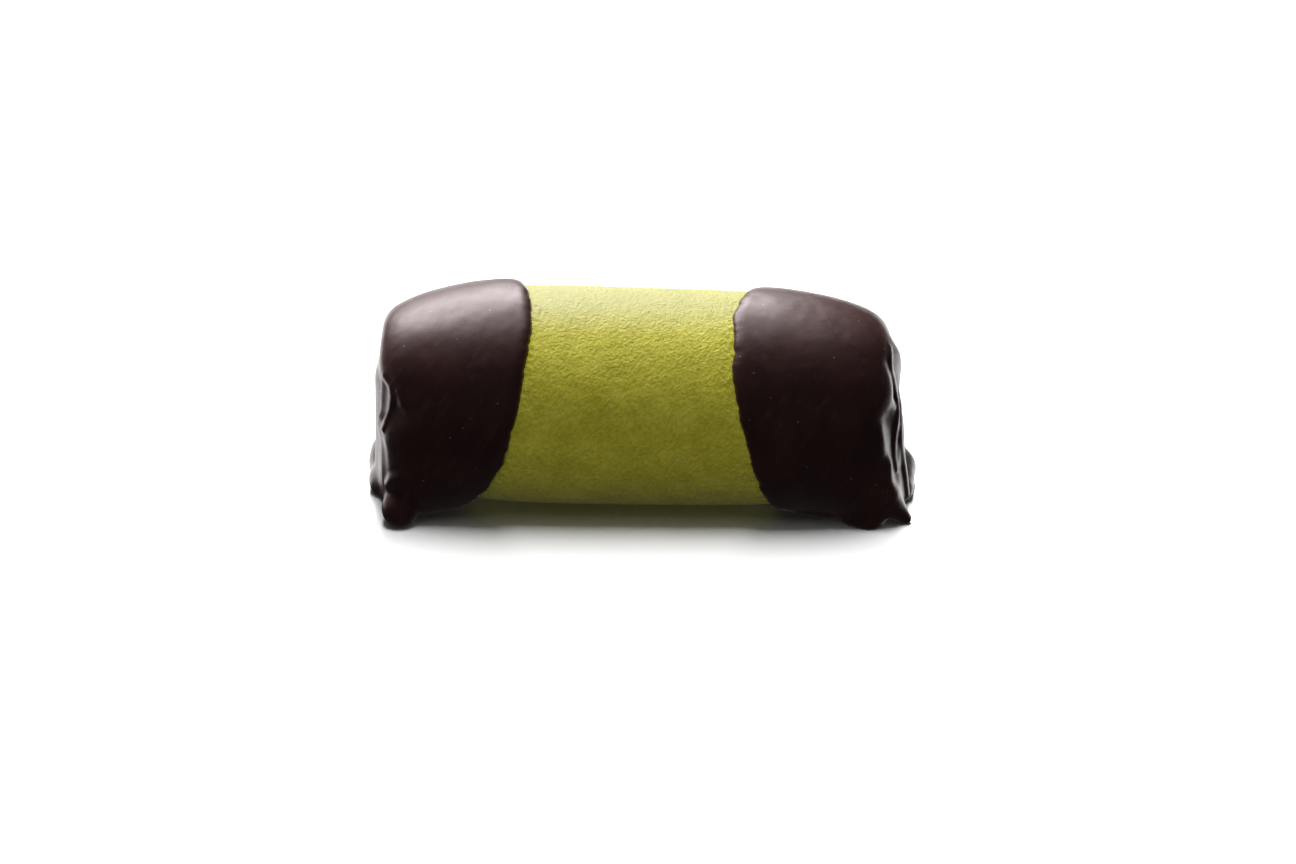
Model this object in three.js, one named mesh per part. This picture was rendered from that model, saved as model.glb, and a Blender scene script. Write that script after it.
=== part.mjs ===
// A marzipan punsch roll: a soft roll wrapped in green marzipan, both ends dipped in dark chocolate.
// Millimetres, +Z up. The roll lies along X, its front is towards -Y, and it rests on z = 0.
// The origin is on the table, under the middle of the whole piece.
import * as THREE from "three";

// The roll, a barrel whose outline is a superellipse: nearly straight sides and soft pinched ends.
const rollMiddle = -0.1; // x of the roll's middle; the right-hand foot spreads further than the left
const rollHalfLength = 31.7;
const rollRadius = 14.0;
const rollTaper = 0.011; // radius lost for each millimetre towards +X
const rollSquareness = 4; // exponent of the superellipse
const rollSag = 0.4; // the soft roll is this much lower than it is thick, because it rests on a flat

// Under the dipped ends the roll lies on chocolate, and between them it touches the table.
const underlay = 0.9;
const underlayStart = 11; // distance from the middle where the underside starts to rise
const underlayEnd = 16;

// Chocolate
const fittingGap = 0.3; // between the roll and the inside of each dipped end
const rimEdge = 0.1; // height of the coat's edge where it stops on the marzipan
const narrowingLength = 17; // the coat narrows towards the end over this length
const narrowingPower = 1.7;
const skirtLength = 12; // the coat fills out below towards the end over this length
const footHeight = 3; // the streams spread below about this height
const floorRounding = 0.5; // of the edge where the chocolate meets the table
const coreReach = 10.6; // the outside is found along rays that fan out from this far inside the end

// Mesh
const aroundCoat = 70; // has to be even, because the lining and the roll take every other one
const coatRings = 28;
const liningRings = 8;
const rollRings = 14;
const crowdedAngle = -90; // the angles are closest together here, at the bottom, where the feet are
const angleCrowding = 0.5; // 0 spaces them evenly, and 1 would pile them all up there
const ringCrowding = 0.4; // the same for the rings, halfway from the dip line to the pole
const profileSteps = 1200;
const rayHalvings = 26;

const chocolateEnds = {
  // side is -1 for the left end, and reach is how far it stands out from the roll's middle, at the
  // height of the axis. The dip line runs at x = dip.at + dip.swing * cos(angle - dip.turn), where the
  // angle is 0 at the front and 90 degrees at the top.
  // A stream is a ridge down the end face, or a groove if its height is negative: at is its y at the
  // axis, slant its y per millimetre of height, foot how much it spreads at the table, and it fades
  // out above the height top.
  // Relief is a broad swelling of the end face, or a dent if its height is negative, along a line
  // through points given as y and z.
  // A drip is a rounded stroke through points, each given as x, y, z and radius, and a hollow is the
  // same pressed in; blend is how softly it flows into the coat.
  chocolate_end_left: {
    side: -1,
    reach: 33.4,
    thickness: 0.36,
    narrowing: 0.033, // how much the coat narrows towards the end
    squareness: 14, // exponent of the coat's outline, whose corner is tighter than the roll's
    lean: 0.02, // how far the end face leans out below, per millimetre of height
    skirt: 1.0, // how much squarer the lower half of the section becomes towards the end
    rimRounding: 1.6,
    dip: { at: -19.35, swing: 5.57, turn: 58.3 },
    streams: [
      { at: -11.2, slant: 0.05, width: 2.4, height: 0.1, foot: -1.0, top: 25 },
      { at: -6.6, slant: 0.05, width: 1.5, height: -0.7, foot: 0, top: 21 },
      { at: -2.6, slant: -0.05, width: 1.8, height: 0.7, foot: 0.7, top: 21 },
      { at: 0.9, slant: 0.02, width: 1.3, height: -0.3, foot: 0.5, top: 18 },
      { at: 4.6, slant: 0.06, width: 2.8, height: 0.4, foot: 2.2, top: 20 },
      { at: 8.8, slant: -0.03, width: 2.0, height: 0.3, foot: 1.2, top: 17 },
    ],
    relief: [
      { height: -2.6, width: 2.4, through: [[-11.6, 19.0], [-12.0, 16.8]] },
      { height: -2.4, width: 4.2, through: [[-13.6, 10.0], [-13.8, 5.5]] },
      { height: 0.35, width: 0.8, through: [[-10.8, 11.5], [-11.4, 7.0], [-10.4, 3.0]] },
    ],
    drips: [
      { blend: 0.8, through: [[-30.7, -10.5, 2.2, 2.3], [-30.2, -9.0, 2.6, 2.2]] },
      { blend: 2.0, through: [[-33.5, -0.6, 1.8, 1.8], [-33.4, 5.2, 2.6, 2.3]] },
      { blend: 2.0, through: [[-31.0, 8.8, 2.0, 2.3], [-28.4, 9.4, 1.6, 1.8]] },
    ],
    hollows: [{ blend: 0.7, through: [[-33.1, -9.8, 18.8, 1.3], [-33.3, -10.1, 15.6, 1.2]] }],
  },
  chocolate_end_right: {
    side: 1,
    reach: 32.8,
    thickness: 0.3,
    narrowing: 0.023,
    squareness: 11,
    lean: 0.09,
    skirt: 1.2,
    rimRounding: 1.1,
    dip: { at: 15.88, swing: -4.5, turn: 49 },
    streams: [
      { at: -10.6, slant: 0.03, width: 1.6, height: 0.1, foot: 0.2, top: 24 },
      { at: -7.4, slant: 0.08, width: 1.5, height: -0.5, foot: 0, top: 19 },
      { at: -4.0, slant: 0.08, width: 1.5, height: 0.4, foot: 0.6, top: 21 },
      { at: -0.8, slant: 0.04, width: 1.2, height: -0.4, foot: 0.9, top: 19 },
      { at: 3.0, slant: -0.04, width: 2.2, height: 0.6, foot: 1.8, top: 20.5 },
      { at: 7.8, slant: -0.05, width: 2.2, height: 0.3, foot: 1.2, top: 18 },
    ],
    relief: [
      { height: 0.9, width: 2.0, through: [[-2.0, 20.5], [-1.0, 18.0]] },
      { height: -0.5, width: 2.4, through: [[-9.0, 23.0], [-11.0, 18.0]] },
      { height: -3.0, width: 3.2, through: [[-12.2, 14.4], [-13.2, 8.0]] },
      { height: 0.5, width: 1.1, through: [[-7.2, 16.0], [-6.6, 12.0], [-7.8, 7.0], [-7.4, 2.0]] },
      { height: 0.4, width: 1.0, through: [[-4.6, 13.0], [-5.4, 8.0], [-4.6, 2.0]] },
    ],
    drips: [
      { blend: 1.6, through: [[31.4, -9.0, 4.0, 1.6], [34.0, -8.5, 0.7, 0.8]] },
      { blend: 1.4, through: [[27.6, -8.4, 1.0, 1.8], [29.2, -9.2, 0.9, 1.8]] },
      { blend: 1.4, through: [[21.2, -5.6, 0.7, 1.1], [24.0, -6.4, 0.8, 1.3]] },
      { blend: 2.0, through: [[33.7, -1.6, 1.6, 1.8], [33.8, 3.4, 2.2, 2.3]] },
      { blend: 2.0, through: [[30.8, 8.8, 2.0, 2.2], [27.6, 9.4, 1.6, 1.7]] },
    ],
    hollows: [],
  },
};

const radians = THREE.MathUtils.degToRad;
const clamp = THREE.MathUtils.clamp;
const smoothstep = THREE.MathUtils.smoothstep;

// Radius of the roll at x before its ends are rounded in, and the height of its axis there.
const radiusAt = (x) => rollRadius - rollTaper * x;
const axisAt = (x) => radiusAt(x) - rollSag;

// Height of the roll's underside at x.
const undersideAt = (x) => underlay * smoothstep(Math.abs(x - rollMiddle), underlayStart, underlayEnd);

// One half of the barrel's outline, from the middle to the pole, as points with their length along it.
function halfOutline(halfLength, side, extraRadius) {
  const points = [];
  let length = 0;
  for (let i = 0; i <= profileSteps; i++) {
    const turn = ((Math.PI / 2) * i) / profileSteps;
    const x = rollMiddle + side * halfLength * Math.sin(turn) ** (2 / rollSquareness);
    const narrowing = Math.max(Math.cos(turn), 0) ** (2 / rollSquareness);
    const radius = i < profileSteps ? (radiusAt(x) + extraRadius) * narrowing : 0;
    if (i > 0) length += Math.hypot(x - points[i - 1].x, radius - points[i - 1].radius);
    points.push({ x, radius, length });
  }
  return points;
}

// The outline's point at a length along it.
function alongOutline(points, length) {
  const after = clamp(points.findIndex((point) => point.length >= length), 1, points.length - 1);
  const [a, b] = [points[after - 1], points[after]];
  const t = clamp((length - a.length) / (b.length - a.length), 0, 1);
  return { x: a.x + (b.x - a.x) * t, radius: a.radius + (b.radius - a.radius) * t };
}

// The length along the outline at which x is reached.
const lengthAtX = (points, side, x) => points.find((point) => side * (point.x - x) >= 0).length;

// A point of the barrel: the angle is 0 at the front and 90 degrees at the top.
const barrelPoint = (x, radius, angle) =>
  new THREE.Vector3(x, -radius * Math.cos(angle), axisAt(x) + radius * Math.sin(angle));

// Angles round the roll, closer together where the feet are.
function anglesRound(count) {
  return Array.from({ length: count }, (_, i) => {
    const turn = (2 * Math.PI * i) / count - Math.PI;
    return turn - angleCrowding * Math.sin(turn) + radians(crowdedAngle);
  });
}

const coatAngles = anglesRound(aroundCoat);
const rollAngles = anglesRound(aroundCoat / 2);

// How far along each ring lies from the dip line to the pole, closer together halfway.
function coatFraction(i) {
  const turn = (2 * Math.PI * i) / coatRings;
  return (turn + ringCrowding * Math.sin(turn)) / (2 * Math.PI);
}

// A skin built up from rings of points; both its ends close on a pole or join another ring.
class Skin {
  constructor() {
    this.points = [];
    this.faces = [];
  }

  add(point) {
    return this.points.push(point) - 1;
  }

  ring(points) {
    return points.map((point) => this.add(point));
  }

  // Joins two rings. The second may have twice as many points as the first.
  band(ringA, ringB) {
    const step = ringB.length / ringA.length;
    for (let i = 0; i < ringA.length; i++) {
      const nextA = ringA[(i + 1) % ringA.length];
      const [near, far, end] = [0, 1, step].map((k) => ringB[(i * step + k) % ringB.length]);
      this.faces.push(ringA[i], near, far, ringA[i], far, nextA);
      if (step === 2) this.faces.push(nextA, far, end);
    }
  }

  fan(ring, pole) {
    for (let i = 0; i < ring.length; i++) this.faces.push(ring[i], pole, ring[(i + 1) % ring.length]);
  }

  geometry(turnedOver) {
    const geometry = new THREE.BufferGeometry().setFromPoints(this.points);
    geometry.setIndex(turnedOver ? [...this.faces].reverse() : this.faces);
    geometry.computeVertexNormals();
    return geometry;
  }
}

// A point on the roll, or offset out from it, with the underside pressed flat.
function onRoll(x, radius, angle, offset) {
  const point = barrelPoint(x, radius, angle);
  point.z = Math.max(point.z, undersideAt(x) - offset);
  return point;
}

// The whole marzipan roll, which runs on inside the chocolate at both ends.
function marzipanGeometry() {
  const left = halfOutline(rollHalfLength, -1, 0);
  const right = halfOutline(rollHalfLength, 1, 0);
  const leftLength = left.at(-1).length;
  const wholeLength = leftLength + right.at(-1).length;
  const skin = new Skin();
  const rings = [];
  for (let i = 1; i < rollRings; i++) {
    const at = (wholeLength * i) / rollRings - leftLength;
    const { x, radius } = at < 0 ? alongOutline(left, -at) : alongOutline(right, at);
    rings.push(skin.ring(rollAngles.map((angle) => onRoll(x, radius, angle, 0))));
  }
  skin.fan([...rings[0]].reverse(), skin.add(barrelPoint(left.at(-1).x, 0, 0)));
  for (let i = 1; i < rings.length; i++) skin.band(rings[i - 1], rings[i]);
  skin.fan(rings.at(-1), skin.add(barrelPoint(right.at(-1).x, 0, 0)));
  return skin.geometry(false);
}

// Where the chocolate stops on the marzipan at an angle round the roll.
const dipLine = ({ dip }, angle) => dip.at + dip.swing * Math.cos(angle - radians(dip.turn));

// Distance from (y, z) to a line through points on the end face.
function lineDistance(y, z, through) {
  let nearest = Infinity;
  for (let i = 1; i < through.length; i++) {
    const [[y0, z0], [y1, z1]] = [through[i - 1], through[i]];
    const along = (y - y0) * (y1 - y0) + (z - z0) * (z1 - z0);
    const t = clamp(along / ((y1 - y0) ** 2 + (z1 - z0) ** 2), 0, 1);
    nearest = Math.min(nearest, Math.hypot(y - y0 - (y1 - y0) * t, z - z0 - (z1 - z0) * t));
  }
  return nearest;
}

// How far the streams and the relief stand out from the end face.
function streamHeight(p, end) {
  let sum = 0;
  for (const { height, width, through } of end.relief) {
    sum += height * Math.exp(-((lineDistance(p.y, p.z, through) / width) ** 2));
  }
  for (const { at, slant, width, height, foot, top } of end.streams) {
    const across = (p.y - at - slant * (p.z - rollRadius)) / width;
    const down = height * (1 - smoothstep(p.z, top - 4, top)) + foot * Math.exp(-p.z / footHeight);
    sum += down * Math.exp(-across * across);
  }
  return sum;
}

// Distance to a rounded stroke between two points.
function strokeDistance(p, [from, to]) {
  const start = new THREE.Vector3(...from);
  const line = new THREE.Vector3(...to).sub(start);
  const t = clamp(p.clone().sub(start).dot(line) / line.lengthSq(), 0, 1);
  return p.distanceTo(start.addScaledVector(line, t)) - (from[3] + (to[3] - from[3]) * t);
}

// The lower of two distances, with a rounded fillet where they meet, and the higher, rounded too.
function softMin(a, b, blend) {
  const h = Math.max(blend - Math.abs(a - b), 0) / blend;
  return Math.min(a, b) - (h * h * blend) / 4;
}
const softMax = (a, b, blend) => -softMin(-a, -b, blend);

// Distance to the smooth coat: the barrel, thicker by the chocolate, with its edge rounded down to
// the marzipan at the dip line. Towards the end its upper half narrows, its lower half fills out into
// a skirt, and streams run down its face.
function coatDistance(p, end) {
  const height = p.z - axisAt(p.x);
  const outward = end.side * (p.x - rollMiddle);
  const angle = Math.atan2(height, -p.y);
  const inFromRim = clamp((end.side * (p.x - dipLine(end, angle))) / end.rimRounding, 0, 1);
  const rounding = Math.sqrt(1 - (1 - inFromRim) ** 2);
  const coat = fittingGap + rimEdge + (end.thickness - rimEdge) * rounding;
  const towardsEnd = Math.max(outward - end.reach + narrowingLength, 0);
  const upper = smoothstep(height, -rollRadius, rollRadius / 3);
  const radius = radiusAt(p.x) + coat - upper * end.narrowing * towardsEnd ** narrowingPower;
  const reach = end.reach + streamHeight(p, end);
  const along = Math.max(outward + end.lean * height, 0) / reach;
  const lower = smoothstep(-height, 0, rollRadius);
  const m = 2 + end.skirt * lower * smoothstep(outward, end.reach - skirtLength, end.reach);
  const out = (Math.abs(p.y) ** m + Math.abs(height) ** m) ** (1 / m) / radius;
  const n = end.squareness;
  const gauge = (along ** n + out ** n) ** (1 / n);
  const slope = Math.hypot(along ** (n - 1) / reach, out ** (n - 1) / radius) / gauge ** (n - 1);
  return (gauge - 1) / slope;
}

// Distance to the finished outside of a dipped end, flat where it stands on the table.
function chocolateDistance(p, end) {
  let distance = coatDistance(p, end);
  for (const { through, blend } of end.drips) {
    distance = softMin(distance, strokeDistance(p, through), blend);
  }
  for (const { through, blend } of end.hollows) {
    distance = softMax(distance, -strokeDistance(p, through), blend);
  }
  return softMax(distance, -p.z, floorRounding);
}

// The point where a ray from inside the coat, aimed at a point of the barrel, leaves the chocolate.
function outside(aim, end) {
  const coreX = rollMiddle + end.side * (rollHalfLength - coreReach);
  const startX = end.side * Math.min(end.side * aim.x, end.side * coreX);
  const start = new THREE.Vector3(startX, 0, axisAt(startX));
  const ray = aim.clone().sub(start);
  let low = 0.5;
  let high = 2;
  for (let i = 0; i < rayHalvings; i++) {
    const middle = (low + high) / 2;
    if (chocolateDistance(start.clone().addScaledVector(ray, middle), end) < 0) low = middle;
    else high = middle;
  }
  const point = start.addScaledVector(ray, low);
  point.z = point.z < 1e-3 ? 0 : point.z;
  return point;
}

// One dipped end: the outside from the dip line to the pole, and the lining round the roll.
function chocolateGeometry(end) {
  const outline = halfOutline(rollHalfLength + fittingGap, end.side, fittingGap);
  const fullLength = outline.at(-1).length;
  const skin = new Skin();
  const ringAt = (fraction, angles, place) =>
    skin.ring(
      angles.map((angle) => {
        const start = lengthAtX(outline, end.side, dipLine(end, angle));
        const { x, radius } = alongOutline(outline, start + (fullLength - start) * fraction);
        return place(x, radius, angle);
      }),
    );
  const toOutside = (x, radius, angle) => outside(barrelPoint(x, radius, angle), end);
  const toLining = (x, radius, angle) => onRoll(x, radius, angle, fittingGap);
  const outer = [];
  for (let i = 0; i < coatRings; i++) outer.push(ringAt(coatFraction(i), coatAngles, toOutside));
  const lining = [];
  for (let i = 0; i < liningRings; i++) lining.push(ringAt(i / liningRings, rollAngles, toLining));
  const pole = barrelPoint(outline.at(-1).x, 0, 0);
  skin.band(lining[0], outer[0]);
  for (let i = 1; i < outer.length; i++) skin.band(outer[i - 1], outer[i]);
  skin.fan(outer.at(-1), skin.add(outside(pole, end)));
  for (let i = 1; i < lining.length; i++) skin.band(lining[i], lining[i - 1]);
  skin.fan([...lining.at(-1)].reverse(), skin.add(pole));
  return skin.geometry(end.side < 0);
}

const marzipan = new THREE.MeshStandardMaterial({ color: 0xc9c257, roughness: 0.62, metalness: 0 });
const chocolate = new THREE.MeshStandardMaterial({ color: 0x2b1a16, roughness: 0.38, metalness: 0 });

function named(name, geometry, material) {
  const mesh = new THREE.Mesh(geometry, material);
  mesh.name = name;
  return mesh;
}

const punschRoll = new THREE.Group();
punschRoll.add(named("marzipan_roll", marzipanGeometry(), marzipan));
for (const [name, end] of Object.entries(chocolateEnds)) {
  punschRoll.add(named(name, chocolateGeometry(end), chocolate));
}

export default punschRoll;
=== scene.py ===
# Marzipan punsch roll: a soft roll in green marzipan, both ends dipped in dark chocolate.
# It lies along X with its front towards -Y. Shapes are worked out in millimetres.
import math

import bpy
import numpy as np
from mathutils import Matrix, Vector, noise


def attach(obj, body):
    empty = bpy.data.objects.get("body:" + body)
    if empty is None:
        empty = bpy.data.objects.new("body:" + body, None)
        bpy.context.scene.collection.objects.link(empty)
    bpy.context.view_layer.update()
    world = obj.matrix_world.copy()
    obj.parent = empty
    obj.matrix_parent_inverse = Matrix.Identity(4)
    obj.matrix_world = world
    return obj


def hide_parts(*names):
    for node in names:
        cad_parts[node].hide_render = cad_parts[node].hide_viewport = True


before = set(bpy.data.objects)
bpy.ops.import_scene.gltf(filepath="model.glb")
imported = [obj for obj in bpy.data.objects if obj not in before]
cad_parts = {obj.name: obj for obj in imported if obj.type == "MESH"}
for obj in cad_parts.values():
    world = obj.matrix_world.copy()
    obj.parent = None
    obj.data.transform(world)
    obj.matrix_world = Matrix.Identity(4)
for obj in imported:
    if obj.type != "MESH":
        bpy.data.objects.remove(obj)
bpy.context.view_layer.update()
scene = bpy.context.scene
mm = 0.001
print("frame loaded:", ", ".join(sorted(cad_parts)))


def smoothstep(value, low, high):
    t = np.clip((value - low) / (high - low), 0, 1)
    return t * t * (3 - 2 * t)


def softMin(a, b, blend):
    # the lower of the two, rounded where they are within blend of each other
    h = np.maximum(blend - np.abs(a - b), 0) / blend
    return np.minimum(a, b) - h * h * blend / 4


def softMax(a, b, blend):
    return -softMin(-a, -b, blend)


def noiseAt(points, size, seed, octaves=1):
    # smooth noise from about -1 to 1 at points in mm; each seed reads another place in it
    shift = Vector((seed * 17.3, seed * 5.1, seed * 9.7))
    values = [
        noise.fractal(Vector(p) / size + shift, 1.0, 2.0, octaves) for p in points.reshape(-1, 3).tolist()
    ]
    return np.array(values).reshape(points.shape[:-1])


def meshPiece(name, points, faces):
    mesh = bpy.data.meshes.new(name)
    mesh.from_pydata((points * mm).tolist(), [], faces)
    mesh.validate()
    mesh.polygons.foreach_set("use_smooth", [True] * len(mesh.polygons))
    piece = bpy.data.objects.new(name, mesh)
    scene.collection.objects.link(piece)
    return piece


def ringFaces(ringCount, around, flip):
    # quads between neighbouring rings of points
    i, j = np.meshgrid(np.arange(ringCount - 1), np.arange(around), indexing="ij")
    a = (i * around + j).ravel()
    b = (i * around + (j + 1) % around).ravel()
    quads = np.stack([a, a + around, b + around, b], -1)
    return (quads[:, ::-1] if flip else quads).tolist()


def fanFaces(first, around, pole, flip):
    # triangles that close a ring at its pole
    fan = [(first + j, pole, first + (j + 1) % around) for j in range(around)]
    return [face[::-1] for face in fan] if flip else fan


roll = {
    "middle": -0.1,  # x of the roll's middle
    "halfLength": 31.7,
    "radius": 14.0,
    "taper": 0.011,  # radius lost for each mm towards +X
    "squareness": 4,  # of the barrel's outline: higher is more like a cylinder
    "outlineSteps": 3000,
    "sag": 0.4,  # how much lower the soft roll is than it is thick
    "underlay": 0.9,  # the chocolate that lifts its ends off the table
    "underlayStart": 11,
    "underlayEnd": 16,
    "wrinkleHeight": 0.06,
    "wrinkleLong": 0.9,  # the fine wrinkles are longer than wide
    "wrinkleWide": 0.45,
    "wrinkleTurn": 68,  # degrees up to the right, seen from the front
    "crumbHeight": 0.20,  # where the chocolate has pulled the marzipan up beside its edge
    "crumbSize": 0.5,
    "crumbReach": 1.3,
    "swellHeight": 0.06,  # broad, shallow swells
    "swellSize": 6.0,
    "shownFrom": -26.5,  # the mesh is fine between these x, which are just inside the chocolate
    "shownTo": 21.5,
    "rings": 236,  # along the part that shows
    "around": 384,
    "hiddenRings": 10,  # inside each chocolate end
}


def radiusAt(x):
    return roll["radius"] - roll["taper"] * x


def axisAt(x):
    return radiusAt(x) - roll["sag"]


def undersideAt(x):
    # height of the roll's underside, which the chocolate lifts at both ends
    fromMiddle = np.abs(x - roll["middle"])
    return roll["underlay"] * smoothstep(fromMiddle, roll["underlayStart"], roll["underlayEnd"])


def halfOutline(side):
    # from the middle to the pole: x, radius, and the length so far
    turn = np.linspace(0, math.pi / 2, roll["outlineSteps"])
    power = 2 / roll["squareness"]
    x = roll["middle"] + side * roll["halfLength"] * np.sin(turn) ** power
    radius = radiusAt(x) * np.maximum(np.cos(turn), 0) ** power
    radius[-1] = 0  # closes the pole
    steps = np.hypot(np.diff(x), np.diff(radius))
    return x, radius, np.concatenate([[0], np.cumsum(steps)])


def barrelPoint(x, radius, angle):
    # angle 0 is the front and a quarter turn the top
    return np.stack([x, -radius * np.cos(angle), axisAt(x) + radius * np.sin(angle)], -1)


def marzipanSkin(points, x, angle):
    # height of the slanted wrinkles, the swells and the torn crumbs at each point
    upAcross = radiusAt(0) * ((angle + math.pi / 2) % (2 * math.pi)) + 0 * x
    slant = math.radians(roll["wrinkleTurn"])
    alongWrinkle = (x * math.cos(slant) + upAcross * math.sin(slant)) / roll["wrinkleLong"]
    acrossWrinkle = (upAcross * math.cos(slant) - x * math.sin(slant)) / roll["wrinkleWide"]
    slanted = np.stack([alongWrinkle, acrossWrinkle, 0 * acrossWrinkle], -1)
    wrinkles = noiseAt(slanted, 1.0, 1, 3) * roll["wrinkleHeight"]
    swells = noiseAt(points, roll["swellSize"], 2) * roll["swellHeight"]
    toEdge = np.minimum(x - dipLine(angle, leftEnd), dipLine(angle, rightEnd) - x)
    crumbs = noiseAt(points, roll["crumbSize"], 5, 2) * roll["crumbHeight"]
    return wrinkles + crumbs * np.exp(-((toEdge / roll["crumbReach"]) ** 2)) + swells


def marzipanRoll():
    # one closed skin from pole to pole, fine where it shows
    around, hidden = roll["around"], roll["hiddenRings"]
    leftX, leftRadius, leftLength = halfOutline(-1)
    rightX, rightRadius, rightLength = halfOutline(1)
    outlineX = np.concatenate([leftX[::-1], rightX[1:]])
    outlineRadius = np.concatenate([leftRadius[::-1], rightRadius[1:]])
    outlineLength = np.concatenate([-leftLength[::-1], rightLength[1:]])
    shownFrom = np.interp(roll["shownFrom"], outlineX, outlineLength)
    shownTo = np.interp(roll["shownTo"], outlineX, outlineLength)
    length = np.concatenate([
        np.linspace(outlineLength[0], shownFrom, hidden, endpoint=False)[1:],
        np.linspace(shownFrom, shownTo, roll["rings"], endpoint=False),
        np.linspace(shownTo, outlineLength[-1], hidden, endpoint=False),
    ])
    x = np.interp(length, outlineLength, outlineX)[:, None]
    radius = np.interp(length, outlineLength, outlineRadius)[:, None]
    angle = np.linspace(0, 2 * math.pi, around, endpoint=False)[None, :]
    points = barrelPoint(x + 0 * angle, radius + 0 * angle, angle + 0 * x)
    outwards = np.stack([0 * angle + 0 * x, -np.cos(angle) + 0 * x, np.sin(angle) + 0 * x], -1)
    points = points + marzipanSkin(points, x, angle)[..., None] * outwards
    points[..., 2] = np.maximum(points[..., 2], undersideAt(points[..., 0]))
    rings = len(points)
    poles = np.array([[outlineX[0], 0, axisAt(outlineX[0])], [outlineX[-1], 0, axisAt(outlineX[-1])]])
    points = np.concatenate([points.reshape(-1, 3), poles])
    faces = ringFaces(rings, around, True)
    faces += fanFaces(0, around, len(points) - 2, False)
    faces += fanFaces((rings - 1) * around, around, len(points) - 1, True)
    piece = meshPiece("marzipan_wrap", points, faces)
    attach(piece, "root")
    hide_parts("marzipan_roll")
    print("marzipan_wrap", len(piece.data.polygons), "faces")
    return piece


chocolate = {
    "around": 420,
    "rings": 200,
    "liningRings": 6,
    "liningDepth": 0.3,  # how far the lining reaches into the marzipan, so that no gap shows
    "rimDepth": 0.12,  # the same for the coat's edge
    "narrowingLength": 17,  # the coat gets thinner over this length towards the tip of the end
    "narrowingPower": 1.7,
    "skirtLength": 12,  # the bottom gets squarer over this length
    "streamFade": 4,  # the streams start over this height
    "footHeight": 3,
    "floorRounding": 0.5,
    "angleCrowding": 0.5,  # how much closer the points lie at the bottom, where the feet are
    "ringCrowding": 0.3,
    "coreReach": 10.6,  # rays fan out from this far inside the end
    "rayLeast": 0.5,  # the chocolate's outside lies between these parts of a ray to the roll's outline
    "rayMost": 2.0,
    "halvings": 22,
    "normalStep": 0.05,
    "rippleHeight": 0.05,
    "rippleSize": 4.5,
    "rippleFade": (0.2, 1.5),  # the feet lie flat below the first height and ripple from the second
    "rimCrinkle": 0.20,
    "rimCrinkleSize": 1.3,
    "rimSteps": 2401,
}

leftEnd = {
    "node": "chocolate_end_left",
    "side": -1,
    "seed": 3,
    "reach": 33.4,  # from the roll's middle to the end face
    "thickness": 0.66,
    "narrowing": 0.033,
    "squareness": 14,
    "lean": 0.02,  # of the end face
    "skirt": 1.0,  # how much squarer the bottom gets
    "rimRounding": 1.6,  # over this length behind the edge
    # the edge runs at x = at + swing * cos(angle - turn), 0 degrees at the front and 90 at the top
    "dip": {"at": -19.35, "swing": 5.57, "turn": 58.3},
    # bumps in that edge: how far in mm, at which angle, over how many degrees
    "waves": [(-0.5, 36, 17), (0.4, -16, 8), (0.25, -33, 7), (-0.5, -58, 11), (0.2, 108, 15)],
    # streams down the end face: y, slant, width, height, foot, top
    "streams": [
        (-11.2, 0.05, 2.4, 0.1, -1.0, 25),
        (-6.6, 0.05, 1.5, -0.7, 0, 21),
        (-2.6, -0.05, 1.8, 0.7, 0.7, 21),
        (0.9, 0.02, 1.3, -0.3, 0.5, 18),
        (4.6, 0.06, 2.8, 0.4, 2.2, 20),
        (8.8, -0.03, 2.0, 0.3, 1.2, 17),
    ],
    # rounded strokes through points (x, y, z, radius), blended into the coat
    "drips": [
        (0.8, [(-30.7, -10.5, 2.2, 2.3), (-30.2, -9.0, 2.6, 2.2)]),
        (2.0, [(-33.5, -0.6, 1.8, 1.8), (-33.4, 5.2, 2.6, 2.3)]),
        (2.0, [(-31.0, 8.8, 2.0, 2.3), (-28.4, 9.4, 1.6, 1.8)]),
    ],
    "hollows": [(0.7, [(-33.1, -9.8, 18.8, 1.3), (-33.3, -10.1, 15.6, 1.2)])],
    # thin folds that run over the front corner
    "ridges": [
        (0.5, [
            (-32.3, -8.3, 19.7, 0.3), (-31.4, -9.3, 18.8, 0.42), (-31.15, -9.8, 17.7, 0.45),
            (-31.4, -10.0, 15.9, 0.45), (-32.1, -10.3, 14.1, 0.4), (-32.5, -10.1, 13.2, 0.3),
        ]),
        (0.8, [
            (-30.8, -9.4, 19.2, 0.25), (-30.3, -10.0, 18.4, 0.45), (-29.8, -10.8, 17.1, 0.4),
            (-29.1, -11.4, 16.2, 0.2),
        ]),
        (0.8, [
            (-32.0, -10.2, 5.4, 0.4), (-31.3, -11.0, 6.6, 0.55), (-30.4, -11.6, 7.4, 0.6),
            (-29.4, -12.0, 7.2, 0.55), (-28.8, -12.0, 6.5, 0.45), (-28.6, -11.9, 5.5, 0.3),
        ]),
    ],
    # ridges and hollows of the end face: height, width, line of (y, z) points
    "relief": [
        (-2.6, 2.4, [(-11.6, 19.0), (-12.0, 16.8)]),
        (0.12, 1.1, [(-12.4, 13.8), (-9.0, 13.2)]),
        (-2.4, 4.2, [(-13.6, 10.0), (-13.8, 5.5)]),
        (0.25, 0.9, [(-10.8, 11.5), (-11.4, 7.0), (-10.4, 3.0)]),
        (0.3, 0.8, [(-8.4, 14.0), (-9.0, 8.0), (-8.0, 2.0)]),
    ],
}

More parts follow.
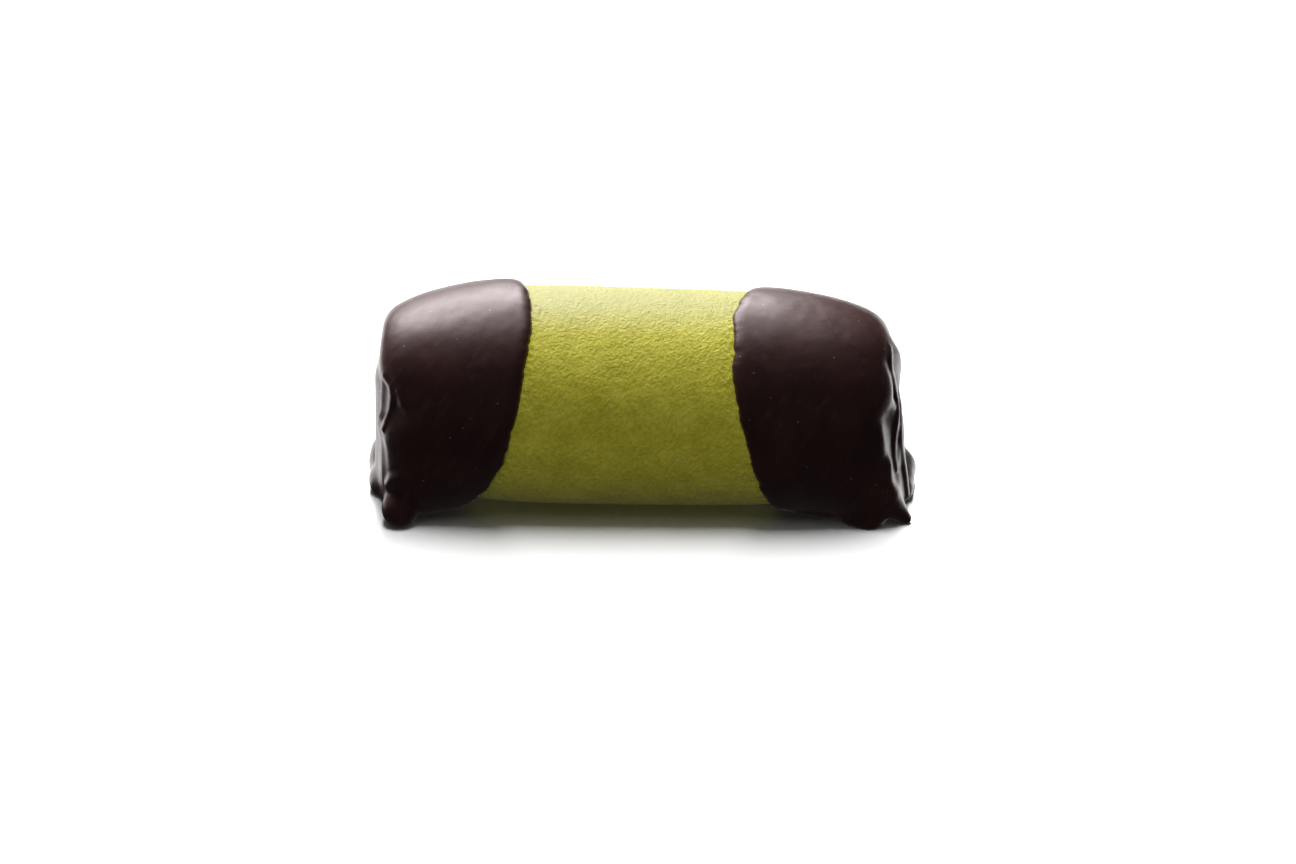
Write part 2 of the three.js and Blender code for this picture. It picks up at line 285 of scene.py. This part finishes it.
rightEnd = {
    "node": "chocolate_end_right",
    "side": 1,
    "seed": 8,
    "reach": 32.8,
    "thickness": 0.6,
    "narrowing": 0.023,
    "squareness": 11,
    "lean": 0.09,
    "skirt": 1.2,
    "rimRounding": 1.6,
    "dip": {"at": 15.88, "swing": -4.5, "turn": 49},
    "waves": [
        (-0.32, 71, 11), (0.2, 47, 3.5), (-0.25, 38, 5), (0.22, -8, 15), (-0.25, -48, 7), (0.2, 106, 10),
    ],
    "streams": [
        (-10.6, 0.03, 1.6, 0.1, 0.2, 24),
        (-7.4, 0.08, 1.5, -0.5, 0, 19),
        (-4.0, 0.08, 1.5, 0.4, 0.6, 21),
        (-0.8, 0.04, 1.2, -0.4, 0.9, 19),
        (3.0, -0.04, 2.2, 0.6, 1.8, 20.5),
        (7.8, -0.05, 2.2, 0.3, 1.2, 18),
    ],
    "drips": [
        (1.6, [(31.4, -9.0, 4.0, 1.6), (34.0, -8.5, 0.7, 0.8)]),
        (1.4, [(27.6, -8.4, 1.0, 1.8), (29.2, -9.2, 0.9, 1.8)]),
        (1.4, [(21.2, -5.6, 0.7, 1.1), (24.0, -6.4, 0.8, 1.3)]),
        (2.0, [(33.7, -1.6, 1.6, 1.8), (33.8, 3.4, 2.2, 2.3)]),
        (2.0, [(30.8, 8.8, 2.0, 2.2), (27.6, 9.4, 1.6, 1.7)]),
    ],
    "hollows": [],
    "ridges": [
        (0.5, [
            (31.2, -3.8, 22.4, 0.3), (31.2, -5.2, 21.4, 0.4), (31.3, -5.7, 20.0, 0.4),
            (31.6, -5.6, 18.6, 0.5), (31.9, -5.4, 17.1, 0.5), (32.2, -5.6, 15.8, 0.5),
            (32.3, -6.5, 14.8, 0.5), (32.2, -6.9, 13.6, 0.5), (32.0, -7.3, 12.4, 0.5),
            (31.9, -7.7, 10.8, 0.45), (32.0, -7.9, 9.0, 0.4), (32.4, -7.8, 7.3, 0.3),
        ]),
        (0.6, [
            (32.4, -4.4, 16.3, 0.3), (32.7, -4.4, 14.8, 0.45), (32.7, -5.5, 13.3, 0.5),
            (32.8, -6.4, 10.9, 0.5), (33.2, -5.9, 8.2, 0.5), (33.8, -5.4, 4.8, 0.5), (34.2, -4.9, 2.4, 0.4),
        ]),
    ],
    "relief": [
        (0.9, 2.0, [(-2.0, 20.5), (-1.0, 18.0)]),
        (-0.5, 2.4, [(-9.0, 23.0), (-11.0, 18.0)]),
        (-0.5, 1.2, [(-6.2, 21.0), (-6.4, 17.0)]),
        (-3.0, 3.2, [(-12.2, 14.4), (-13.2, 8.0)]),
        (0.5, 0.9, [(-10.8, 14.0), (-11.2, 11.0)]),
        (0.4, 0.9, [(-10.2, 9.0), (-11.0, 5.0)]),
        (-0.4, 1.2, [(-9.0, 15.0), (-9.0, 11.0), (-8.4, 7.0)]),
        (0.5, 1.1, [(-7.2, 16.0), (-6.6, 12.0), (-7.8, 7.0), (-7.4, 2.0)]),
        (0.4, 1.0, [(-4.6, 13.0), (-5.4, 8.0), (-4.6, 2.0)]),
    ],
}


def edgeLine(end):
    # angles all the way round and x of the coat's edge at each, crinkled by noise
    dip = end["dip"]
    angle = np.linspace(-math.pi, math.pi, chocolate["rimSteps"])
    x = dip["at"] + dip["swing"] * np.cos(angle - math.radians(dip["turn"]))
    for height, at, width in end["waves"]:
        away = (np.degrees(angle) - at + 180) % 360 - 180
        x = x + height * np.exp(-((away / width) ** 2))
    around = barrelPoint(0 * angle, roll["radius"], angle)
    crinkles = noiseAt(around, chocolate["rimCrinkleSize"], end["seed"], 5)
    return angle, x + crinkles * chocolate["rimCrinkle"]


def dipLine(angle, end):
    # x of the coat's edge at any angle
    return np.interp((angle + math.pi) % (2 * math.pi) - math.pi, *end["edge"])


def reliefHeight(y, z, end):
    # soft ridges and hollows of the end face, each along a line of (y, z) points
    total = 0
    for height, width, line in end["relief"]:
        nearest = np.inf
        for (fromY, fromZ), (toY, toZ) in zip(line, line[1:]):
            alongY, alongZ = toY - fromY, toZ - fromZ
            t = np.clip(((y - fromY) * alongY + (z - fromZ) * alongZ) / (alongY**2 + alongZ**2), 0, 1)
            nearest = np.minimum(nearest, np.hypot(y - fromY - t * alongY, z - fromZ - t * alongZ))
        total = total + height * np.exp(-((nearest / width) ** 2))
    return total


def streamHeight(y, z, end):
    # how far the end face stands out
    total = reliefHeight(y, z, end)
    for at, slant, width, height, foot, top in end["streams"]:
        across = (y - at - slant * (z - roll["radius"])) / width
        down = height * (1 - smoothstep(z, top - chocolate["streamFade"], top))
        down = down + foot * np.exp(-z / chocolate["footHeight"])
        total = total + down * np.exp(-across * across)
    return total


def strokeDistance(p, points):
    # from a rounded stroke whose radius changes along it
    nearest = np.inf
    for start, finish in zip(points, points[1:]):
        a = np.array(start[:3])
        line = np.array(finish[:3]) - a
        t = np.clip((p - a) @ line / (line @ line), 0, 1)
        away = np.linalg.norm(p - a - t[..., None] * line, axis=-1)
        nearest = np.minimum(nearest, away - (start[3] + (finish[3] - start[3]) * t))
    return nearest


def coatDistance(p, end):
    # from a squarish barrel a little bigger than the roll, without drips
    x, y, z = p[..., 0], p[..., 1], p[..., 2]
    height = z - axisAt(x)
    outward = end["side"] * (x - roll["middle"])
    angle = np.arctan2(height, -y)
    inFromRim = np.clip(end["side"] * (x - dipLine(angle, end)) / end["rimRounding"], 0, 1)
    rounding = np.sqrt(1 - (1 - inFromRim) ** 2)
    coat = -chocolate["rimDepth"] + (end["thickness"] + chocolate["rimDepth"]) * rounding
    towardsEnd = np.maximum(outward - end["reach"] + chocolate["narrowingLength"], 0)
    upper = smoothstep(height, -roll["radius"], roll["radius"] / 3)
    radius = radiusAt(x) + coat - upper * end["narrowing"] * towardsEnd ** chocolate["narrowingPower"]
    reach = end["reach"] + streamHeight(y, z, end)
    along = np.maximum(outward + end["lean"] * height, 0) / reach
    lower = smoothstep(-height, 0, roll["radius"])
    nearEnd = smoothstep(outward, end["reach"] - chocolate["skirtLength"], end["reach"])
    m = 2 + end["skirt"] * lower * nearEnd
    out = (np.abs(y) ** m + np.abs(height) ** m) ** (1 / m) / radius
    n = end["squareness"]
    gauge = (along**n + out**n) ** (1 / n)
    slope = np.hypot(along ** (n - 1) / reach, out ** (n - 1) / radius) / gauge ** (n - 1)
    return (gauge - 1) / slope


def chocolateDistance(p, end):
    # below 0 inside the chocolate's outer shape
    distance = coatDistance(p, end)
    for blend, points in end["drips"]:
        distance = softMin(distance, strokeDistance(p, points), blend)
    for blend, points in end["hollows"]:
        distance = softMax(distance, -strokeDistance(p, points), blend)
    for blend, points in end["ridges"]:
        distance = softMin(distance, strokeDistance(p, points), blend)
    return softMax(distance, -p[..., 2], chocolate["floorRounding"])


def outside(aim, end):
    # where rays from inside the coat, towards points of the barrel, leave the chocolate
    coreX = roll["middle"] + end["side"] * (roll["halfLength"] - chocolate["coreReach"])
    startX = end["side"] * np.minimum(end["side"] * aim[..., 0], end["side"] * coreX)
    start = np.stack([startX, np.zeros_like(startX), axisAt(startX)], -1)
    low = np.full(startX.shape, chocolate["rayLeast"])
    high = np.full(startX.shape, chocolate["rayMost"])
    for _ in range(chocolate["halvings"]):
        middle = (low + high) / 2
        inside = chocolateDistance(start + middle[..., None] * (aim - start), end) < 0
        low = np.where(inside, middle, low)
        high = np.where(inside, high, middle)
    return start + low[..., None] * (aim - start)


def outwardFrom(p, end):
    # the field's own direction at each point
    slopes = []
    for axis in range(3):
        shift = np.zeros(3)
        shift[axis] = chocolate["normalStep"]
        slopes.append(chocolateDistance(p + shift, end) - chocolateDistance(p - shift, end))
    normal = np.stack(slopes, -1)
    return normal / np.linalg.norm(normal, axis=-1, keepdims=True)


def chocolateEnd(end):
    # a thin cup: the outside found along rays, and a lining just inside the marzipan
    side, around = end["side"], chocolate["around"]
    turn = np.linspace(-math.pi, math.pi, around, endpoint=False)
    angle = turn - chocolate["angleCrowding"] * np.sin(turn) - math.pi / 2
    outlineX, outlineRadius, outlineLength = halfOutline(side)
    dipX = side * dipLine(angle, end)
    dipLength = np.interp(dipX, side * outlineX, outlineLength)

    def ringsAt(fractions, place):
        length = dipLength + (outlineLength[-1] - dipLength) * fractions[:, None]
        x = np.interp(length, outlineLength, outlineX)
        radius = np.interp(length, outlineLength, outlineRadius)
        return place(x, radius, np.broadcast_to(angle, x.shape))

    def coatPoint(x, radius, angles):
        return outside(barrelPoint(x, radius, angles), end)

    def liningPoint(x, radius, angles):
        inner = barrelPoint(x, np.maximum(radius - chocolate["liningDepth"], 0), angles)
        inner[..., 2] = np.maximum(inner[..., 2], undersideAt(x) + chocolate["liningDepth"])
        return inner

    turns = 2 * math.pi * np.arange(chocolate["rings"]) / chocolate["rings"]
    coat = ringsAt((turns + chocolate["ringCrowding"] * np.sin(turns)) / (2 * math.pi), coatPoint)
    ripples = noiseAt(coat, chocolate["rippleSize"], end["seed"], 3) * chocolate["rippleHeight"]
    offFloor = smoothstep(coat[..., 2], *chocolate["rippleFade"])
    coat = coat + outwardFrom(coat, end) * (ripples * offFloor)[..., None]
    coat[..., 2] = np.maximum(coat[..., 2], 0)
    lining = ringsAt(np.arange(chocolate["liningRings"])[::-1] / chocolate["liningRings"], liningPoint)
    rings = np.concatenate([lining, coat])
    points = rings.reshape(-1, 3)
    poleX = outlineX[-1]
    innerPole = [[poleX - side * chocolate["liningDepth"], 0, axisAt(poleX)]]
    outerPole = outside(np.array([[poleX, 0, axisAt(poleX)]]), end)
    points = np.concatenate([points, innerPole, outerPole])
    flip = side < 0
    faces = ringFaces(len(rings), around, flip)
    faces += fanFaces(0, around, len(points) - 2, not flip)
    faces += fanFaces((len(rings) - 1) * around, around, len(points) - 1, flip)
    piece = meshPiece(end["node"] + "_coat", points, faces)
    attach(piece, "root")
    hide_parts(end["node"])
    print(end["node"], len(piece.data.polygons), "faces")
    return piece


def newMaterial(name):
    material = bpy.data.materials.new(name)
    material.use_nodes = True
    tree = material.node_tree
    return material, tree, tree.nodes["Principled BSDF"]


def addNode(tree, kind, settings=None, **values):
    node = tree.nodes.new(kind)
    for key, value in (settings or {}).items():
        setattr(node, key, value)
    for key, value in values.items():
        node.inputs[key].default_value = value
    return node


def noiseNode(tree, size, detail=2.0, roughness=0.5):
    # true-scale noise, its size in mm
    place = addNode(tree, "ShaderNodeTexCoord")
    texture = addNode(tree, "ShaderNodeTexNoise", Scale=1000 / size, Detail=detail, Roughness=roughness)
    tree.links.new(place.outputs["Object"], texture.inputs["Vector"])
    return texture.outputs["Fac"]


def slantedNoise(tree, long, wide, turn):
    # noise drawn out into streaks that run up to the right: sizes in mm, turn in degrees
    place = addNode(tree, "ShaderNodeTexCoord")
    slant = addNode(tree, "ShaderNodeMapping", {"vector_type": "TEXTURE"})
    slant.inputs["Rotation"].default_value = (0, math.radians(-turn), 0)
    slant.inputs["Scale"].default_value = (long * mm, wide * mm, wide * mm)
    texture = addNode(tree, "ShaderNodeTexNoise", Scale=1.0, Detail=3.0, Roughness=0.6)
    tree.links.new(place.outputs["Object"], slant.inputs["Vector"])
    tree.links.new(slant.outputs["Vector"], texture.inputs["Vector"])
    return texture.outputs["Fac"]


def rampNode(tree, source, stops):
    # stops are (place from 0 to 1, colour)
    ramp = addNode(tree, "ShaderNodeValToRGB")
    elements = ramp.color_ramp.elements
    while len(elements) < len(stops):
        elements.new(0.5)
    for element, (at, color) in zip(elements, stops):
        element.position = at
        element.color = (*color, 1)
    tree.links.new(source, ramp.inputs["Fac"])
    return ramp.outputs["Color"]


def rangeNode(tree, source, low, high, between=(0.3, 0.7), step="LINEAR"):
    # low where the source is at the first value of between, high at the second; noise is mostly 0.3 to 0.7
    span = addNode(tree, "ShaderNodeMapRange", {"interpolation_type": step})
    span.inputs["From Min"].default_value, span.inputs["From Max"].default_value = between
    span.inputs["To Min"].default_value = low
    span.inputs["To Max"].default_value = high
    tree.links.new(source, span.inputs["Value"])
    return span.outputs["Result"]


def heightRange(tree, low, high, most):
    # 0 below the height low in mm, rising to most at the height high
    place = addNode(tree, "ShaderNodeTexCoord")
    split = addNode(tree, "ShaderNodeSeparateXYZ")
    tree.links.new(place.outputs["Object"], split.inputs["Vector"])
    return rangeNode(tree, split.outputs["Z"], 0, most, (low * mm, high * mm), "SMOOTHSTEP")


def mixColor(tree, share, base, added):
    # inputs 6 and 7 and output 2 are a mix node's colour sockets
    mix = addNode(tree, "ShaderNodeMix", {"data_type": "RGBA"})
    tree.links.new(share, mix.inputs["Factor"])
    tree.links.new(base, mix.inputs[6])
    mix.inputs[7].default_value = (*added, 1)
    return mix.outputs[2]


def scaleColor(tree, color, shade):
    scaled = addNode(tree, "ShaderNodeVectorMath", {"operation": "SCALE"})
    tree.links.new(color, scaled.inputs[0])
    tree.links.new(shade, scaled.inputs["Scale"])
    return scaled.outputs["Vector"]


def bumpNode(tree, source, depth, after=None):
    # depth in mm
    bump = addNode(tree, "ShaderNodeBump", Strength=1.0, Distance=depth * mm)
    tree.links.new(source, bump.inputs["Height"])
    if after:
        tree.links.new(after, bump.inputs["Normal"])
    return bump.outputs["Normal"]


def marzipanMaterial():
    look = {
        "dark": (0.56, 0.518, 0.038),
        "plain": (0.63, 0.588, 0.050),
        "pale": (0.69, 0.645, 0.070),
        "mottleSize": 3.0,  # mm, as every size and depth here
        "roughness": (0.50, 0.66),
        "scatterShare": 0.4,
        "scatter": (1.0, 0.95, 0.5),
        "scatterDepth": 0.3,
        "sheen": 0.15,
        "sheenRoughness": 0.4,
        "streakLong": 0.75,  # fine slanted streaks
        "streakWide": 0.32,
        "streakTurn": 56,
        # the streaks' colour follows their bump: painted shade in the furrows, painted light on the crests
        "streakPaintedShade": (0.85, 1.14),
        "streakDepth": 0.32,
        "grainSize": 0.35,
        "grainDepth": 0.18,
        "paintedSheen": (0.58, 0.57, 0.32),  # painted sheen: the top is painted paler where the light from behind grazes it
        "paintedSheenFrom": (25.0, 28.4),  # mm above the table
        "paintedSheenShare": 0.75,
    }
    material, tree, shader = newMaterial("marzipan")
    mottle = noiseNode(tree, look["mottleSize"], detail=3)
    color = rampNode(tree, mottle, [(0.3, look["dark"]), (0.5, look["plain"]), (0.7, look["pale"])])
    streaks = slantedNoise(tree, look["streakLong"], look["streakWide"], look["streakTurn"])
    # painted shade: darker where the streak bump is low, lighter where it is high
    shade = rangeNode(tree, streaks, *look["streakPaintedShade"])
    color = scaleColor(tree, color, shade)
    # painted sheen: the colour turns paler towards the top of the roll
    sheenPainted = mixColor(tree, heightRange(tree, *look["paintedSheenFrom"], look["paintedSheenShare"]), color, look["paintedSheen"])
    tree.links.new(sheenPainted, shader.inputs["Base Color"])
    shader.inputs["Subsurface Weight"].default_value = look["scatterShare"]
    shader.inputs["Subsurface Radius"].default_value = look["scatter"]
    shader.inputs["Subsurface Scale"].default_value = look["scatterDepth"] * mm
    grain = noiseNode(tree, look["grainSize"], detail=3, roughness=0.6)
    tree.links.new(rangeNode(tree, grain, *look["roughness"]), shader.inputs["Roughness"])
    shader.inputs["Sheen Weight"].default_value = look["sheen"]
    shader.inputs["Sheen Roughness"].default_value = look["sheenRoughness"]
    streakBump = bumpNode(tree, streaks, look["streakDepth"])
    tree.links.new(bumpNode(tree, grain, look["grainDepth"], streakBump), shader.inputs["Normal"])
    return material


def speckNode(tree, color, look):
    # a few pale sugar specks, each a dot at the middle of a cell
    place = addNode(tree, "ShaderNodeTexCoord")
    cells = addNode(tree, "ShaderNodeTexVoronoi", Scale=1000 / look["speckSpacing"])
    tree.links.new(place.outputs["Object"], cells.inputs["Vector"])
    chosen = addNode(tree, "ShaderNodeMath", {"operation": "LESS_THAN"})
    tree.links.new(cells.outputs["Color"], chosen.inputs[0])
    chosen.inputs[1].default_value = look["speckShare"]
    near = addNode(tree, "ShaderNodeMath", {"operation": "LESS_THAN"})
    tree.links.new(cells.outputs["Distance"], near.inputs[0])
    near.inputs[1].default_value = look["speckRadius"] / look["speckSpacing"]
    both = addNode(tree, "ShaderNodeMath", {"operation": "MULTIPLY"})
    tree.links.new(chosen.outputs[0], both.inputs[0])
    tree.links.new(near.outputs[0], both.inputs[1])
    return mixColor(tree, both.outputs[0], color, look["speck"])


def chocolateMaterial():
    look = {
        "dark": (0.055, 0.0190, 0.0165),
        "plain": (0.070, 0.0250, 0.0215),
        "pale": (0.088, 0.0340, 0.0300),
        "mottleSize": 5.0,  # mm, as every size and depth here
        "roughness": (0.40, 0.50),
        "roughnessSize": 1.6,
        "grainSize": 0.5,
        "grainDepth": 0.012,
        "haze": (1.0, 0.74, 0.76),  # tint of the gloss
        "gloss": 0.64,
        "coat": 0.4,  # a second, clear sheen over it
        "coatRoughness": 0.3,
        "coatIor": 1.5,
        "speck": (0.32, 0.26, 0.24),
        "speckSpacing": 1.3,
        "speckRadius": 0.12,
        "speckShare": 0.35,  # of the places that have one
        "smear": (0.20, 0.115, 0.105),  # faint pale smears
        "smearLong": 7.0,
        "smearWide": 0.9,
        "smearTurn": 62,
        "smearShare": 0.22,
        "smearBetween": (0.55, 0.72),  # values of the noise where a smear starts and is full
    }
    material, tree, shader = newMaterial("chocolate")
    mottle = noiseNode(tree, look["mottleSize"], detail=3)
    color = rampNode(tree, mottle, [(0.3, look["dark"]), (0.5, look["plain"]), (0.75, look["pale"])])
    smears = slantedNoise(tree, look["smearLong"], look["smearWide"], look["smearTurn"])
    smearShare = rangeNode(tree, smears, 0, look["smearShare"], look["smearBetween"])
    color = mixColor(tree, smearShare, color, look["smear"])
    tree.links.new(speckNode(tree, color, look), shader.inputs["Base Color"])
    dull = noiseNode(tree, look["roughnessSize"], detail=4)
    tree.links.new(rangeNode(tree, dull, *look["roughness"]), shader.inputs["Roughness"])
    shader.inputs["Specular Tint"].default_value = (*look["haze"], 1)
    shader.inputs["Specular IOR Level"].default_value = look["gloss"]
    shader.inputs["Coat Weight"].default_value = look["coat"]
    shader.inputs["Coat Roughness"].default_value = look["coatRoughness"]
    shader.inputs["Coat IOR"].default_value = look["coatIor"]
    grain = noiseNode(tree, look["grainSize"], detail=3)
    tree.links.new(bumpNode(tree, grain, look["grainDepth"]), shader.inputs["Normal"])
    return material


def paperMaterial():
    look = {
        "dark": (0.92, 0.92, 0.92),
        "pale": (0.94, 0.94, 0.94),
        "mottleSize": 30,  # mm
        "roughness": 0.9,
        "gloss": 0.1,
    }
    material, tree, shader = newMaterial("paper")
    mottle = noiseNode(tree, look["mottleSize"])
    pale = rampNode(tree, mottle, [(0.3, look["dark"]), (0.7, look["pale"])])
    tree.links.new(pale, shader.inputs["Base Color"])
    shader.inputs["Roughness"].default_value = look["roughness"]
    shader.inputs["Specular IOR Level"].default_value = look["gloss"]
    return material


def makeTable():
    # one white sheet in three parts: only the part behind the left end shows in its gloss
    reach, split = 3.0, -0.036  # metres: half its length, and x between the two parts behind
    parts = {
        "tableFront": (-reach, reach, -reach, 0),
        "tableLeft": (-reach, split, 0, reach),
        "tableRight": (split, reach, 0, reach),
    }
    paper = paperMaterial()
    for name, (left, right, front, back) in parts.items():
        mesh = bpy.data.meshes.new(name)
        corners = [(left, front, 0), (right, front, 0), (right, back, 0), (left, back, 0)]
        mesh.from_pydata(corners, [], [(0, 1, 2, 3)])
        sheet = bpy.data.objects.new(name, mesh)
        scene.collection.objects.link(sheet)
        sheet.data.materials.append(paper)
        sheet.visible_glossy = name == "tableLeft"
        sheet.visible_diffuse = False
        sheet.visible_shadow = False
        tableGroup.objects.link(sheet)


def softbox(name, azimuth, elevation, distance, size, radiance, lights):
    # azimuth in degrees, 0 in front, 90 at the right, 180 behind; distance and size in metres;
    # radiance as seen from the pastry
    turn, rise = math.radians(azimuth), math.radians(elevation)
    light = bpy.data.lights.new(name, "AREA")
    light.shape = "RECTANGLE"
    light.size, light.size_y = size
    light.energy = radiance * math.pi * size[0] * size[1]
    lamp = bpy.data.objects.new(name, light)
    toLamp = Vector((math.sin(turn) * math.cos(rise), -math.cos(turn) * math.cos(rise), math.sin(rise)))
    lamp.location = toLamp * distance
    lamp.rotation_euler = (-toLamp).to_track_quat("-Z", "Y").to_euler()
    lamp.light_linking.receiver_collection = lights
    scene.collection.objects.link(lamp)
    return lamp


def lightStage():
    # name, azimuth, elevation, distance, size, radiance, what it lights
    softbox("mainSoftbox", 204, 48, 1.0, (0.90, 0.58), 7.2, rollGroup)
    softbox("backPanel", 198, 28, 1.0, (0.9, 0.45), 2.4, rollGroup)
    softbox("topPanel", 190, 78, 1.0, (0.9, 0.40), 1.4, rollGroup)
    lowCard = softbox("lowCard", 152, -18, 1.0, (1.2, 0.6), 2.4, rollGroup)
    lowCard.visible_diffuse = False  # only a gleam along the right end face
    frontFill = softbox("frontFill", 0, 12, 1.0, (1.6, 0.9), 0.13, rollGroup)
    frontFill.visible_glossy = False
    wrapKey = softbox("wrapKey", 180, 73, 1.0, (0.6, 0.3), 8.2, wrapGroup)  # rakes over the grain
    wrapKey.visible_glossy = False
    wrapFill = softbox("wrapFill", 0, 31, 1.0, (1.6, 0.9), 0.77, wrapGroup)
    wrapFill.visible_glossy = False
    softbox("tableKey", 180, 88, 1.0, (0.2, 0.75), 27, tableGroup)
    softbox("tableWash", 180, 55, 3.0, (0.6, 1.0), 64, tableGroup)
    softbox("tableFill", 0, 62, 1.0, (1.0, 0.45), 0.5, tableGroup)
    world = bpy.data.worlds.new("studio")
    scene.world = world
    world.use_nodes = True
    room = world.node_tree.nodes["Background"]
    room.inputs["Color"].default_value = (1, 1, 1, 1)
    room.inputs["Strength"].default_value = 0.03
    scene.view_settings.view_transform = "Standard"


def makeCamera():
    # target and distance in mm, elevation and roll in degrees
    shot = {"target": (0.84, -1.95, 9.4), "distance": 395, "elevation": 25, "roll": 0.65, "lens": 85}
    lens = bpy.data.cameras.new("camera")
    lens.lens = shot["lens"]
    lens.sensor_width = 36
    lens.clip_start, lens.clip_end = 0.01, 20  # metres
    camera = bpy.data.objects.new("camera", lens)
    elevation = math.radians(shot["elevation"])
    back = Vector((0, -math.cos(elevation), math.sin(elevation)))
    camera.location = (Vector(shot["target"]) + back * shot["distance"]) * mm
    look = (-back).to_track_quat("-Z", "Y").to_matrix().to_4x4()
    look.translation = camera.location
    camera.matrix_world = look
    camera.rotation_euler.rotate_axis("Z", math.radians(shot["roll"]))
    scene.collection.objects.link(camera)
    scene.camera = camera


# the table, the whole pastry and its marzipan each have lights of their own
tableGroup = bpy.data.collections.new("tableGroup")
rollGroup = bpy.data.collections.new("rollGroup")
wrapGroup = bpy.data.collections.new("wrapGroup")
makeCamera()
makeTable()
lightStage()
print("stage set")
for end in (leftEnd, rightEnd):
    end["edge"] = edgeLine(end)  # worked out once, since every ray needs it
wrap = marzipanRoll()
wrap.data.materials.append(marzipanMaterial())
rollGroup.objects.link(wrap)
wrapGroup.objects.link(wrap)
chocolateFinish = chocolateMaterial()
print("materials made")
for end in (leftEnd, rightEnd):
    coat = chocolateEnd(end)
    coat.data.materials.append(chocolateFinish)
    rollGroup.objects.link(coat)
